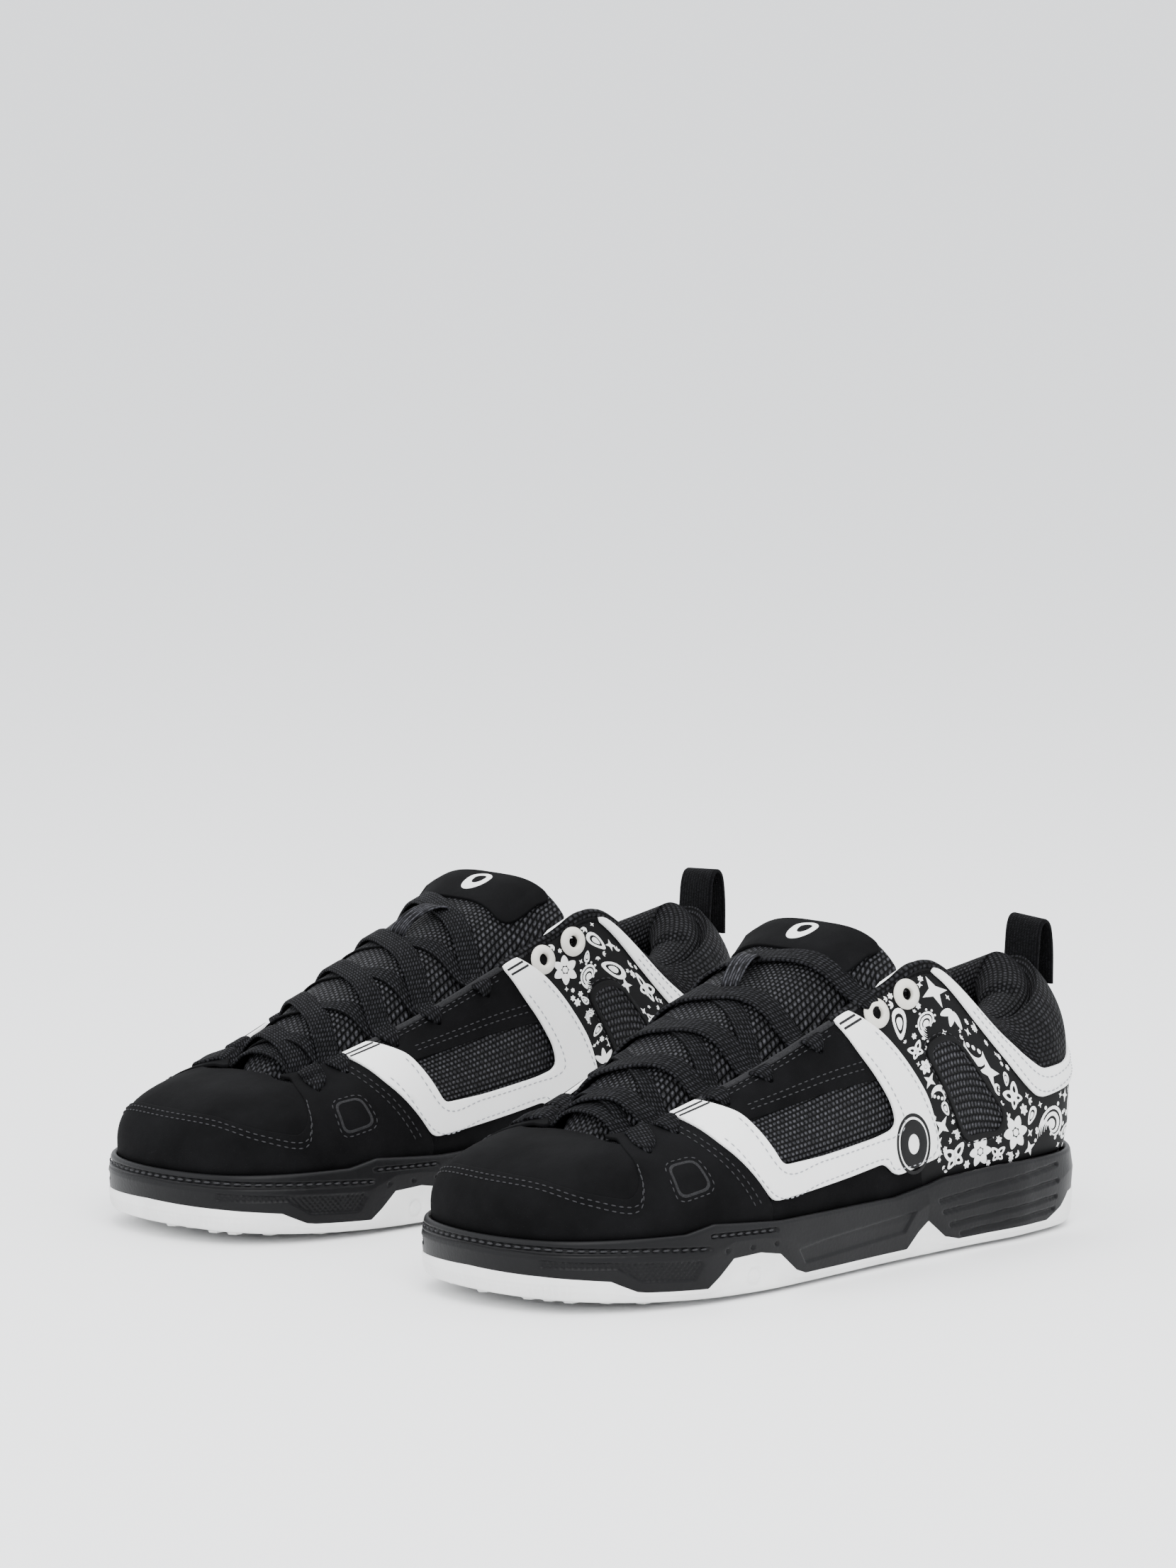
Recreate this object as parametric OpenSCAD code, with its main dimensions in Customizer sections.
// A pair of low, thickly padded lace-up sports shoes, standing side by side on their outsoles.
// Frame: toes towards -X, heels towards +X, left shoe at -Y, +Z up, origin on the floor between the shoes.

/* [Pair] */
// Distance between the centre planes of the two shoes
pair_spacing = 192; // [150:1:260]
// Shift that centres the pair's own box on the origin
centre_shift = 2.5; // [-5:0.1:5]

/* [Sole] */
// Thickness of the rubber outsole under the foot
tread_h = 5.2; // [4:0.1:5.4]
// Height of the toe above the floor at the tip
toe_spring = 4.5; // [0:0.5:8]
// How far the sole stands out past the upper
sole_flare = 5; // [4.4:0.1:6]
// Thickness of the foam wedge inside the cup
foam_h = 11; // [6:0.5:11.5]

/* [Upper] */
// Thickness of the outer panels
panel_t = 1.6; // [1:0.1:2]
// Thickness of the bands and trims stitched on top
band_t = 1.4; // [0.8:0.1:2]
// Thickness of the inner lining
lining_t = 1.2; // [0.8:0.1:1.6]
// Depth of the lining below the skin line
lining_depth = 3.6; // [3.4:0.1:4]
// Radius of the padded collar at the heel
collar_r = 11; // [8:0.5:12]

/* [Tongue and lacing] */
// Thickness of the padded tongue
tongue_t = 11; // [6:0.5:13]
// Width of the flat lace
lace_w = 9; // [6:0.5:10]
// Thickness of the flat lace
lace_t = 1.6; // [1:0.1:2]
// Inner radius of a grommet
grommet_r = 2.6; // [2:0.1:3]

/* [Heel tab] */
// Width of the webbing loop at the heel
tab_w = 20; // [14:1:24]

/* [Hidden] */

BLACK = "#1b1b1c";
WHITE = "#e9e9e7";
MESH = "#2b2b2d";
STATIONS = 22;
OUTLINE_N = 72;

// Twelve cross-sections of the last, toe to heel: foot line, lower swell, shoulder, opening edge, and the
// width of the medial side as a share of the lateral side.
LAST = [
  [[-152, 0, 27], [-156, 0, 50], [-138, 0, 57], [-101, 0, 60], 1.00],
  [[-145, 30, 27], [-149, 32, 50], [-134, 20, 57], [-100, 9, 60], 1.05],
  [[-125, 47, 27], [-127, 50, 50], [-118, 34, 57], [-97, 18, 61], 1.00],
  [[-96, 56, 27], [-96, 59, 50], [-93, 41, 59], [-89, 26, 64], 0.95],
  [[-62, 57, 27], [-62, 59, 48], [-64, 47, 65], [-65, 31, 72], 0.93],
  [[-25, 53, 26.5], [-25, 55, 48], [-33, 49, 73], [-37, 36, 83], 0.91],
  [[12, 48, 26], [12, 50, 51], [-2, 50, 82], [-8, 40, 96], 0.90],
  [[42, 45, 27], [42, 48, 54], [27, 50, 91], [19, 41, 106], 0.90],
  [[70, 43, 29.5], [70, 47, 56], [55, 49, 96], [46, 42, 114], 0.93],
  [[100, 41, 30.5], [102, 45, 50], [92, 46, 76], [85, 39, 90], 0.95],
  [[131, 31, 30.5], [135, 36, 54], [128, 36, 80], [119, 27, 97], 1.00],
  [[147, 0, 31], [155, 0, 54], [151, 0, 86], [137, 0, 106], 1.00]
];

// Height of the white outsole's top edge, [station, height], lateral half; the medial half mirrors it
OUTSOLE_EDGE = [[0, 16], [1, 15], [1.5, 14], [1.9, 13], [2.25, 8.5], [2.75, 6.6], [3.15, 6], [3.35, 11],
  [3.55, 17], [3.95, 17.5], [4.25, 15.5], [4.5, 8], [4.65, 6], [6.4, 6], [6.65, 12], [6.85, 15.5],
  [7.2, 8], [7.5, 6], [9.3, 6], [9.6, 10], [9.8, 15], [11, 17]];
// Height of the cup's lip, in the same form
LIP_EDGE = [[0, 28.4], [2.9, 28.4], [3.3, 31], [4.3, 28], [6.2, 27.2], [6.9, 29.5], [7.2, 31], [8.4, 32],
  [9.8, 31.5], [11, 32]];

function mix(a, b, t) = a * (1 - t) + b * t;
function unit(v) = v / norm(v);
// Smooth curve through the four points p0..p3 between p1 and p2
function spline(p0, p1, p2, p3, t) = 0.5 * (2 * p1 + (p2 - p0) * t + (2 * p0 - 5 * p1 + 4 * p2 - p3) * t * t
  + (3 * p1 - p0 - 3 * p2 + p3) * t * t * t);
// The last's point c at whole station i; the lateral side lies towards -Y
function last_point(i, c) = let (k = (i % STATIONS + STATIONS) % STATIONS, s = k > 11 ? 22 - k : k,
    p = LAST[s][c], m = LAST[s][4], share = c == 3 ? 1 : c == 2 ? (1 + m) / 2 : m)
  k > 11 ? [p[0], p[1] * share, p[2]] : [p[0], -p[1], p[2]];
function last_curve(u, c) = let (i = floor(u))
  spline(last_point(i - 1, c), last_point(i, c), last_point(i + 1, c), last_point(i + 2, c), u - i);
// The outer skin: u runs round the shoe in stations, v from the foot line (0) to the opening (1)
function skin(u, v) = let (w = 1 - v) w * w * w * last_curve(u, 0) + 3 * w * w * v * last_curve(u, 1)
  + 3 * w * v * v * last_curve(u, 2) + v * v * v * last_curve(u, 3);
function skin_normal(u, v) = let (a = max(0, v - 0.01), b = min(1, v + 0.01))
  unit(cross(skin(u + 0.02, v) - skin(u - 0.02, v), skin(u, b) - skin(u, a)));
function off_skin(uv, d) = skin(uv[0], uv[1]) + d * skin_normal(uv[0], uv[1]);
// The foot line pushed outwards by d in plan, at height z
function foot_line(u, d, z) = let (p = last_curve(u, 0), q = last_curve(u + 0.05, 0) - last_curve(u - 0.05, 0),
    n = unit([q[1], -q[0]])) [p[0] + d * n[0], p[1] + d * n[1], z];
function spring(x) = x < -37 ? toe_spring * pow((-37 - x) / 115, 2) : 0;
function sole_point(u, d, z) = let (p = foot_line(u, d, z)) [p[0], p[1], z + spring(p[0])];
function mirrored(u) = let (w = (u % STATIONS + STATIONS) % STATIONS) w > 11 ? 22 - w : w;
function table(t, u) = lookup(mirrored(u), t);

// Two matching grids of points make one closed slab; outer is seen from outside, inner lies behind it
module slab(outer, inner, flip = false) {
  n = len(outer);
  m = len(outer[0]);
  count = n * m;
  function at(g, i, j) = g * count + i * m + j;
  function quad(a, b, c, d) = flip ? [[c, b, a], [d, c, a]] : [[a, b, c], [a, c, d]];
  faces = [
    for (i = [0 : n - 2], j = [0 : m - 2]) each quad(at(0, i, j), at(0, i, j + 1), at(0, i + 1, j + 1), at(0, i + 1, j)),
    for (i = [0 : n - 2], j = [0 : m - 2]) each quad(at(1, i, j), at(1, i + 1, j), at(1, i + 1, j + 1), at(1, i, j + 1)),
    for (i = [0 : n - 2]) each quad(at(1, i, 0), at(0, i, 0), at(0, i + 1, 0), at(1, i + 1, 0)),
    for (i = [0 : n - 2]) each quad(at(0, i, m - 1), at(1, i, m - 1), at(1, i + 1, m - 1), at(0, i + 1, m - 1)),
    for (j = [0 : m - 2]) each quad(at(0, 0, j), at(1, 0, j), at(1, 0, j + 1), at(0, 0, j + 1)),
    for (j = [0 : m - 2]) each quad(at(1, n - 1, j), at(0, n - 1, j), at(0, n - 1, j + 1), at(1, n - 1, j + 1))
  ];
  polyhedron([for (row = outer) each row, for (row = inner) each row], faces);
}

// Rings of equal length stacked from the bottom up, closed at both ends; each ring runs toe, lateral, heel, medial
module loft(rings) {
  n = len(rings[0]);
  top = (len(rings) - 1) * n;
  walls = [for (k = [0 : len(rings) - 2], i = [0 : n - 1]) let (j = (i + 1) % n)
    each [[k * n + i, k * n + n + i, k * n + n + j], [k * n + i, k * n + n + j, k * n + j]]];
  lid = [for (i = [0 : n / 2 - 1]) let (a = i, b = (n - i) % n, c = n - i - 1, d = i + 1)
    each (a == b ? [[a, c, d]] : c == d ? [[a, b, c]] : [[a, b, c], [a, c, d]])];
  polyhedron([for (r = rings) each r], concat(walls, [for (f = lid) [f[0] + top, f[1] + top, f[2] + top]],
    [for (f = lid) [f[2], f[1], f[0]]]));
}

// Closed round sections swept along a line, with flat ends
module tube(sections) {
  m = len(sections[0]);
  n = len(sections);
  sides = [for (i = [0 : n - 2], j = [0 : m - 1]) let (k = (j + 1) % m)
    each [[i * m + j, i * m + k, i * m + m + k], [i * m + j, i * m + m + k, i * m + m + j]]];
  ends = [for (j = [1 : m - 2]) each [[0, j + 1, j], [(n - 1) * m, (n - 1) * m + j, (n - 1) * m + j + 1]]];
  polyhedron([for (s = sections) each s], concat(sides, ends));
}

// Point at share t along a chain of points, each stretch taking an equal share
function along(chain, t) = let (s = min(t * (len(chain) - 1), len(chain) - 1.000001), i = floor(s))
  mix(chain[i], chain[i + 1], s - i);
function medial(chain) = [for (p = chain) [22 - p[0], p[1]]];

// Twice the signed area inside a closed outline, positive when it runs anticlockwise
function shoelace(p, i = 0) = i >= len(p) ? 0
  : let (a = p[i], b = p[(i + 1) % len(p)]) a[0] * b[1] - b[0] * a[1] + shoelace(p, i + 1);

// A panel of the upper between two chains of (u, v) points with equal counts, lying from depth d0 to d1
module panel(low, high, steps, rows, d0, d1) {
  n = (len(low) - 1) * steps;
  grid = [for (i = [0 : n]) [for (j = [0 : rows]) mix(along(low, i / n), along(high, i / n), j / rows)]];
  outline = concat(low, [for (i = [len(high) - 1 : -1 : 0]) high[i]]);
  area = shoelace(outline);
  slab([for (row = grid) [for (p = row) off_skin(p, d1)]], [for (row = grid) [for (p = row) off_skin(p, d0)]],
    area < 0);
}

function ring(d, z) = [for (i = [0 : OUTLINE_N - 1]) sole_point(i * STATIONS / OUTLINE_N, d, z)];
function edge_ring(t, d, dz, low = 0) = [for (i = [0 : OUTLINE_N - 1]) let (u = i * STATIONS / OUTLINE_N,
    p = foot_line(u, d, 0)) [p[0], p[1], max(table(t, u), low + spring(p[0])) + dz]];

module outsole() {
  color(WHITE) loft([
    ring(-2, 0),
    ring(1.5, 1.5),
    edge_ring([[0, 5.6], [11, 5.6]], sole_flare - 1, 0, 4.6),
    edge_ring(OUTSOLE_EDGE, sole_flare, 0, tread_h + 0.7),
    edge_ring(OUTSOLE_EDGE, 3.2, 0, tread_h + 0.7),
    ring(3, tread_h)]);
}

module cupsole() {
  color(BLACK) loft([
    ring(2.8, tread_h + 0.05),
    edge_ring(OUTSOLE_EDGE, 3, 0.1, tread_h + 0.8),
    edge_ring(OUTSOLE_EDGE, sole_flare, 0.15, tread_h + 0.8),
    edge_ring([[0, 21], [11, 22]], sole_flare + 0.6, 0),
    edge_ring(LIP_EDGE, sole_flare - 0.6, -1.4),
    edge_ring(LIP_EDGE, sole_flare - 1.4, 0),
    edge_ring(LIP_EDGE, 2.2, 0),
    [for (i = [0 : OUTLINE_N - 1]) foot_line(i * STATIONS / OUTLINE_N, 2, last_curve(i * STATIONS / OUTLINE_N, 0)[2] - 0.1)],
    [for (i = [0 : OUTLINE_N - 1]) foot_line(i * STATIONS / OUTLINE_N, -3, last_curve(i * STATIONS / OUTLINE_N, 0)[2] - 0.1)],
    ring(-3, tread_h + 3.2)]);
}

// Flat fill inside the cup between two heights above the tread, each following the toe spring
module fill(z0, z1, d) {
  loft([ring(d, z0), ring(d, z1)]);
}

foam_z = tread_h + 3.4;
board_z = foam_z + foam_h + 0.1;
liner_z = board_z + 1.5;

module midsole_foam() {
  color("#4a4a4c") fill(foam_z, foam_z + foam_h, -3.4);
}

module insole_board() {
  color("#c9c2b2") fill(board_z, board_z + 1.3, -3.4);
}

module sockliner() {
  rim = lining_depth + lining_t + 2.2;
  color(MESH) loft([ring(-rim, liner_z), ring(-rim, liner_z + 4), ring(-rim - 3, liner_z + 4), ring(-rim - 9, liner_z + 2.6)]);
}

// Top edge of the lining: full height along the throat, lower where the collar padding takes over
function lining_top(u) = lookup(mirrored(u), [[0, 0.86], [6, 0.88], [7.2, 0.86], [8.4, 0.62], [11, 0.55]]);
function lining_ring(d, share) = [for (i = [0 : OUTLINE_N / 2 - 1]) let (u = i * STATIONS * 2 / OUTLINE_N)
  off_skin([u, 0.03 + share * (lining_top(u) - 0.03)], -d)];

module lining() {
  deep = lining_depth + lining_t;
  low = [for (i = [0 : OUTLINE_N / 2 - 1]) sole_point(i * STATIONS * 2 / OUTLINE_N, -lining_depth, liner_z + 0.5)];
  inner = [for (i = [0 : OUTLINE_N / 2 - 1]) sole_point(i * STATIONS * 2 / OUTLINE_N, -deep, liner_z + 0.5)];
  shares = [0, 0.3, 0.6, 0.8, 1];
  rings = concat([low], [for (s = shares) lining_ring(lining_depth, s)],
    [for (s = [4 : -1 : 0]) lining_ring(deep, shares[s])], [inner]);
  n = OUTLINE_N / 2;
  k = len(rings);
  color(MESH) polyhedron([for (r = rings) each r], [for (r = [0 : k - 1], i = [0 : n - 1])
    let (j = (i + 1) % n, a = r * n, b = ((r + 1) % k) * n) each [[a + i, b + i, b + j], [a + i, b + j, a + j]]]);
}

module toe_puff() {
  color("#6b6459") panel([[-2.2, 0.06], [2.2, 0.06]], [[-1.9, 0.6], [1.9, 0.6]], 10, 4, -2.9, -1.4);
}

module heel_counter() {
  color("#6b6459") panel([[8.6, 0.02], [13.4, 0.02]], [[9, 0.48], [13, 0.48]], 12, 4, -2.85, -1.95);
}

skin_d = panel_t / 2;
band_d = skin_d + 0.45;

// Toe seam: from the throat down the lateral side, round the toe and up the medial side
TOE_SEAM = [[1.6, 0.96], [2.15, 0.9], [2.4, 0.6], [2.4, 0.38], [2.25, 0.25], [1.6, 0.32], [0.85, 0.43], [0, 0.45]];
TOE_FOOT = [[3.9, 0.97], [3.8, 0.6], [4.2, 0.12], [3.4, 0], [2.6, 0], [1.7, 0], [0.85, 0], [0, 0]];
function both_sides(chain) = concat(chain, [for (i = [len(chain) - 2 : -1 : 0]) [-chain[i][0], chain[i][1]]]);

module mudguard() {
  color(BLACK) panel(both_sides(TOE_FOOT), both_sides(TOE_SEAM), 3, 4, -skin_d, skin_d);
}

module toe_cap() {
  seam = [[2.3, 0.62], [2.3, 0.38], [2.15, 0.28], [1.6, 0.35], [0.85, 0.46], [0, 0.48]];
  edge = [[2.1, 0.84], [1.6, 0.9], [1.2, 0.96], [0.8, 0.98], [0.4, 0.98], [0, 0.98]];
  color(BLACK) panel(both_sides(seam), both_sides(edge), 2, 4, -skin_d, skin_d);
}

WINDOW_LOW = [[4.46, 0.33], [5.58, 0.31], [6.38, 0.34]];
WINDOW_HIGH = [[4.31, 0.70], [5.4, 0.66], [6.25, 0.6]];
module lateral_mesh() {
  color(MESH) panel(WINDOW_LOW, WINDOW_HIGH, 4, 3, -skin_d, skin_d - 0.4);
}
module medial_mesh() {
  color(MESH) panel(medial(WINDOW_LOW), medial(WINDOW_HIGH), 4, 3, -skin_d, skin_d - 0.4);
}

EYESTAY_LOW = [[4.31, 0.73], [5.4, 0.69], [6.22, 0.63]];
EYESTAY_HIGH = [[3.95, 1], [5, 1], [6.2, 1]];
module lateral_eyestay() {
  color(BLACK) panel(EYESTAY_LOW, EYESTAY_HIGH, 4, 3, -skin_d, skin_d);
}
module medial_eyestay() {
  color(BLACK) panel(medial(EYESTAY_LOW), medial(EYESTAY_HIGH), 4, 3, -skin_d, skin_d);
}

// The white band runs down from the throat, back along the side and up to the eyestay again
BAND_OUT = [[3.45, 1], [3.73, 0.6], [4.24, 0.14], [5.1, 0.17], [6.08, 0.2], [6.3, 0.12], [7.2, 0.15],
  [7.08, 0.41], [6.61, 0.82], [6.36, 1]];
BAND_IN = [[3.88, 1], [4.22, 0.75], [4.46, 0.33], [5.1, 0.32], [6, 0.32], [6.3, 0.33], [6.43, 0.36],
  [6.43, 0.45], [6.2, 0.75], [6.11, 1]];
module lateral_band() {
  color(WHITE) panel(BAND_OUT, BAND_IN, 2, 2, band_d, band_d + band_t);
}
module medial_band() {
  color(WHITE) panel(medial(BAND_OUT), medial(BAND_IN), 2, 2, band_d, band_d + band_t);
}

SADDLE_LOW = [[4.1, 0], [5.1, 0], [6.1, 0], [6.9, 0]];
SADDLE_HIGH = [[4.3, 0.3], [5.1, 0.29], [6.1, 0.29], [6.76, 0.3]];
module lateral_saddle() {
  color(BLACK) panel(SADDLE_LOW, SADDLE_HIGH, 3, 2, -skin_d, skin_d);
}
module medial_saddle() {
  color(BLACK) panel(medial(SADDLE_LOW), medial(SADDLE_HIGH), 3, 2, -skin_d, skin_d);
}

// The printed quarter wraps the heel from one white band to the other, under the collar trim
QUARTER_LOW = [[7.0, 0], [7.4, 0], [7.8, 0], [8.3, 0], [8.8, 0], [9.4, 0], [10.2, 0], [11, 0]];
QUARTER_HIGH = [[6.45, 1], [7.2, 1], [7.9, 0.97], [8.31, 0.84], [8.76, 0.7], [9.2, 0.5], [10.2, 0.5], [11, 0.6]];
function heel_sides(chain) = concat(chain, medial([for (i = [len(chain) - 2 : -1 : 0]) chain[i]]));
module heel_quarter() {
  color("#3a3a3c") difference() {
    panel(heel_sides(QUARTER_LOW), heel_sides(QUARTER_HIGH), 2, 5, -skin_d, skin_d);
    for (h = [HOLES[5], HOLES[6]], u = [h[0], 22 - h[0]])
      on_skin(u, h[1])
        cylinder(r = grommet_r + grommet_wall + grommet_gap, h = panel_t + 6, center = true, $fn = 24);
  }
}

VENT_LOW = [[7.75, 0.18], [8.42, 0.2], [8.54, 0.3]];
VENT_HIGH = [[7.3, 0.6], [7.6, 0.62], [7.88, 0.6]];
module lateral_vent() {
  color(MESH) panel(VENT_LOW, VENT_HIGH, 2, 3, band_d, band_d + 0.6);
}
module medial_vent() {
  color(MESH) panel(medial(VENT_LOW), medial(VENT_HIGH), 2, 3, band_d, band_d + 0.6);
}

// V-shaped trim below the collar
TRIM_OUT = [[7.9, 0.97], [8.31, 0.78], [8.76, 0.64], [9.22, 0.41], [9.8, 0.4], [10.5, 0.46], [11, 0.54]];
TRIM_IN = [[8.05, 0.97], [8.5, 0.88], [8.95, 0.76], [9.35, 0.56], [9.8, 0.52], [10.5, 0.56], [11, 0.64]];
module collar_trim() {
  color(WHITE) panel(heel_sides(TRIM_OUT), heel_sides(TRIM_IN), 3, 1, band_d, band_d + band_t);
}

// Outward direction in plan at the opening edge
function opening_out(u) = let (q = last_curve(u + 0.05, 3) - last_curve(u - 0.05, 3)) unit([q[1], -q[0], 0]);
function collar_size(u) = lookup(mirrored(u), [[7.5, 0.2], [8.3, 0.35], [9, 0.62], [9.7, 0.95], [11, 1]]) * collar_r;
// Outer fabric above the trim together with the padded roll of the collar
module collar_pad() {
  sides = 12;
  n = 32;
  color(MESH) tube([for (i = [0 : n]) let (u = mix(7.7, 14.3, i / n), r = collar_size(u), out = opening_out(u),
      c = last_curve(u, 3) - out * (r + 0.6) + [0, 0, 1.5 - r])
    [for (k = [0 : sides - 1]) c + out * r * cos(k * 360 / sides) + [0, 0, r * sin(k * 360 / sides)]]]);
}

BINDING_LOW = [[8.1, 0.985], [8.5, 0.9], [8.95, 0.78], [9.4, 0.58], [9.8, 0.54], [10.5, 0.58], [11, 0.66]];
BINDING_HIGH = [[8.2, 1], [8.6, 1], [9, 1], [9.4, 1], [9.8, 1], [10.5, 1], [11, 1]];
module collar_binding() {
  color(MESH) panel(heel_sides(BINDING_LOW), heel_sides(BINDING_HIGH), 3, 2, -skin_d, skin_d);
}

// Tongue sections: position, height of the crown, half width, height of the edge, thickness
TONGUE = [[-116, 50, 10, 47, 3], [-106, 53, 13, 49, 4], [-98, 63, 15, 53, 7], [-88, 73, 23, 56, 0.9 * tongue_t],
  [-65, 87, 29, 65, tongue_t], [-37, 101, 33, 76, tongue_t], [-8, 114, 36, 89, tongue_t],
  [8, 121, 38, 100, tongue_t], [20, 126, 41, 113, tongue_t], [28, 128, 42, 116, 0.7 * tongue_t]];
function tongue_row(s) = let (i = floor(min(s, 8.9999))) mix(TONGUE[i], TONGUE[i + 1], s - i);
function tongue_share(x) = lookup(x, [for (i = [0 : 9]) [TONGUE[i][0], i]]);
function tongue_z(x, y) = let (r = tongue_row(tongue_share(x)), e = min(1, abs(y) / r[2]))
  r[1] - (r[1] - r[3]) * pow(e, 3.5);
// Points across the tongue at share e (-1 to 1) of its width, at the crown or dropped by the thickness
function tongue_grid(s0, s1, n, drop) = [for (i = [0 : n]) let (r = tongue_row(mix(s0, s1, i / n)))
  [for (k = [-8 : 8]) let (e = sin(k * 90 / 8), y = e * r[2] * (drop ? 0.96 : 1))
    [r[0], y, r[1] - (r[1] - r[3]) * pow(abs(e), 3.5) - (drop ? r[4] * (1 - 0.6 * pow(abs(e), 3)) : 0)]]];

module tongue() {
  color(MESH) slab(tongue_grid(0, 6.05, 12, false), tongue_grid(0, 6.05, 12, true));
}

module tongue_top() {
  color(MESH) slab(tongue_grid(6.35, 9, 6, false), tongue_grid(6.35, 9, 6, true));
}

module tongue_patch() {
  function lifted(dz) = [for (i = [0 : 6]) let (r = tongue_row(mix(6.8, 8.8, i / 6)))
    [for (k = [-6 : 6]) let (e = 0.84 * k / 6) [r[0] - 0.3, e * r[2], r[1] - (r[1] - r[3]) * pow(abs(e), 3.5) + dz]]];
  color(BLACK) slab(lifted(2), lifted(0.6));
}

// Lacing rows, front to back: station and height of each hole on the skin
HOLES = [[2.68, 0.67], [3.3, 0.8], [4.21, 0.87], [4.91, 0.88], [5.71, 0.88], [6.75, 0.9], [7.35, 0.9]];

// Wall of a grommet, width of its flange beyond the hole, and the clearance cut for it in the quarter
grommet_wall = 1;
flange_w = 2.6;
grommet_gap = 0.3;

// Places its children on the skin at (u, v), with +Z pointing out of the shoe
module on_skin(u, v) {
  n = skin_normal(u, v);
  translate(skin(u, v)) rotate([0, acos(n[2]), atan2(n[1], n[0])]) children();
}

// Short tube with a flange, standing on the skin at (u, v)
module grommet(u, v) {
  on_skin(u, v) translate([0, 0, -skin_d - 0.4]) difference() {
    union() {
      cylinder(r = grommet_r + grommet_wall, h = panel_t + 2.4, $fn = 24);
      translate([0, 0, panel_t + 1.4]) cylinder(r = grommet_r + flange_w, h = 1, $fn = 24);
    }
    translate([0, 0, -1]) cylinder(r = grommet_r, h = panel_t + 5, $fn = 24);
  }
}

module grommets() {
  color(WHITE) for (h = [HOLES[5], HOLES[6]]) {
    grommet(h[0], h[1]);
    grommet(22 - h[0], h[1]);
  }
}

// A flat band swept along points that lie over the tongue; its width runs up the tongue's slope
module flat_band(points, w, t) {
  tube([for (p = points) let (rise = (tongue_z(p[0] + w / 2, p[1]) - tongue_z(p[0] - w / 2, p[1])) / 2,
      side = [w / 2, 0, rise]) [p - side, p + side, p + side + [0, 0, t], p - side + [0, 0, t]]]);
}

// How far each row's underside rides above the tongue, front to back
ROW_LIFT = [5.4, 2.9, 2.9, 2.9, 2.9, 4.2];
crossing_lift = 0.9;
crossing_t = 0.9;

// One straight row between the lateral and the medial hole, or a crossing to the next row's far edge
function row_points(h0, h1, lift, reach) = let (a = skin(h0[0], reach), b = skin(22 - h1[0], reach))
  [for (i = [0 : 12]) let (e = -1 + i / 6, y = e < 0 ? -e * a[1] : e * b[1], x = mix(a[0], b[0], (e + 1) / 2),
    rest = tongue_z(x, y) + lift, edge = mix(a[2], b[2], (e + 1) / 2) + lift + 0.7)
    [x, y, abs(e) > 0.99 ? edge : max(rest, min(edge, rest + 4))]];

module lace() {
  color(BLACK) {
    for (i = [0 : 5]) flat_band(row_points(HOLES[i], HOLES[i], ROW_LIFT[i], 0.97), lace_w, lace_t);
    // Crossings under the rows, ending short of the eyestays that they run beneath
    for (i = [0 : 3]) {
      path = row_points(HOLES[i], HOLES[i + 1], crossing_lift, 1);
      flat_band([for (k = [2 : 10]) path[k]], lace_w - 1, crossing_t);
    }
  }
}

// Webbing loop sewn behind the collar, folded over at the top
module pull_tab() {
  color(BLACK) rotate([90, 0, 0]) translate([0, 0, -tab_w / 2]) linear_extrude(tab_w)
    polygon([[138.2, 107.4], [135.6, 111], [134.8, 116], [136.5, 119.6], [141, 120.2], [145.5, 118],
      [148.6, 112.5], [150, 105], [150, 96], [147.6, 96], [147.8, 105], [146.4, 111.6], [143.8, 116],
      [141, 117.6], [138.2, 117.2], [137.2, 115.6], [137.8, 112], [140, 108.6]]);
}

// Which shoe a node belongs to
module left() {
  translate([centre_shift, -pair_spacing / 2, 0]) children();
}
module right() {
  translate([centre_shift, pair_spacing / 2, 0]) mirror([0, 1, 0]) children();
}

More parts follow.
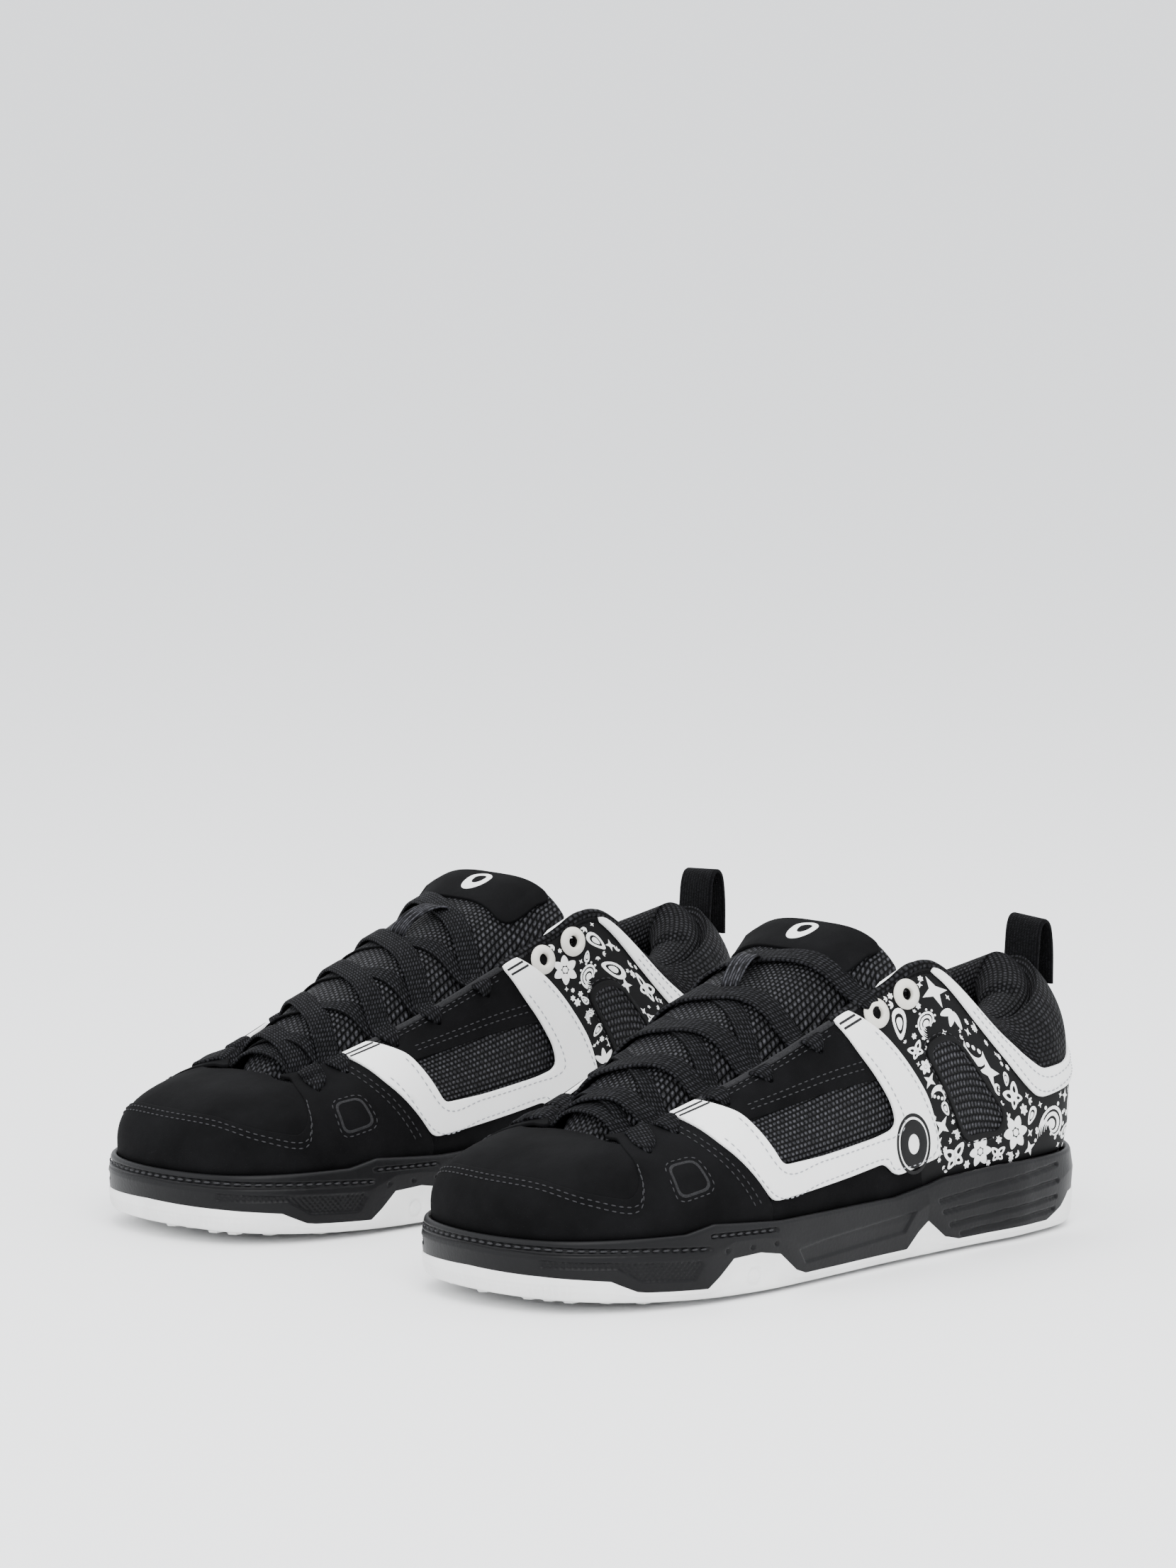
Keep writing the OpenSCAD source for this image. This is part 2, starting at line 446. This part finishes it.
left() outsole();  // left_outsole
left() cupsole();  // left_cupsole
left() midsole_foam();  // left_midsole_foam
left() insole_board();  // left_insole_board
left() sockliner();  // left_sockliner
left() lining();  // left_lining
left() toe_puff();  // left_toe_puff
left() heel_counter();  // left_heel_counter
left() toe_cap();  // left_toe_cap
left() mudguard();  // left_mudguard
left() lateral_eyestay();  // left_lateral_eyestay
left() medial_eyestay();  // left_medial_eyestay
left() lateral_mesh();  // left_lateral_mesh
left() medial_mesh();  // left_medial_mesh
left() lateral_band();  // left_lateral_band
left() medial_band();  // left_medial_band
left() lateral_saddle();  // left_lateral_saddle
left() medial_saddle();  // left_medial_saddle
left() heel_quarter();  // left_heel_quarter
left() lateral_vent();  // left_lateral_vent
left() medial_vent();  // left_medial_vent
left() collar_trim();  // left_collar_trim
left() collar_pad();  // left_collar_pad
left() collar_binding();  // left_collar_binding
left() tongue();  // left_tongue
left() tongue_top();  // left_tongue_top
left() tongue_patch();  // left_tongue_patch
left() grommets();  // left_grommets
left() lace();  // left_lace
left() pull_tab();  // left_pull_tab
right() outsole();  // right_outsole
right() cupsole();  // right_cupsole
right() midsole_foam();  // right_midsole_foam
right() insole_board();  // right_insole_board
right() sockliner();  // right_sockliner
right() lining();  // right_lining
right() toe_puff();  // right_toe_puff
right() heel_counter();  // right_heel_counter
right() toe_cap();  // right_toe_cap
right() mudguard();  // right_mudguard
right() lateral_eyestay();  // right_lateral_eyestay
right() medial_eyestay();  // right_medial_eyestay
right() lateral_mesh();  // right_lateral_mesh
right() medial_mesh();  // right_medial_mesh
right() lateral_band();  // right_lateral_band
right() medial_band();  // right_medial_band
right() lateral_saddle();  // right_lateral_saddle
right() medial_saddle();  // right_medial_saddle
right() heel_quarter();  // right_heel_quarter
right() lateral_vent();  // right_lateral_vent
right() medial_vent();  // right_medial_vent
right() collar_trim();  // right_collar_trim
right() collar_pad();  // right_collar_pad
right() collar_binding();  // right_collar_binding
right() tongue();  // right_tongue
right() tongue_top();  // right_tongue_top
right() tongue_patch();  // right_tongue_patch
right() grommets();  // right_grommets
right() lace();  // right_lace
right() pull_tab();  // right_pull_tab
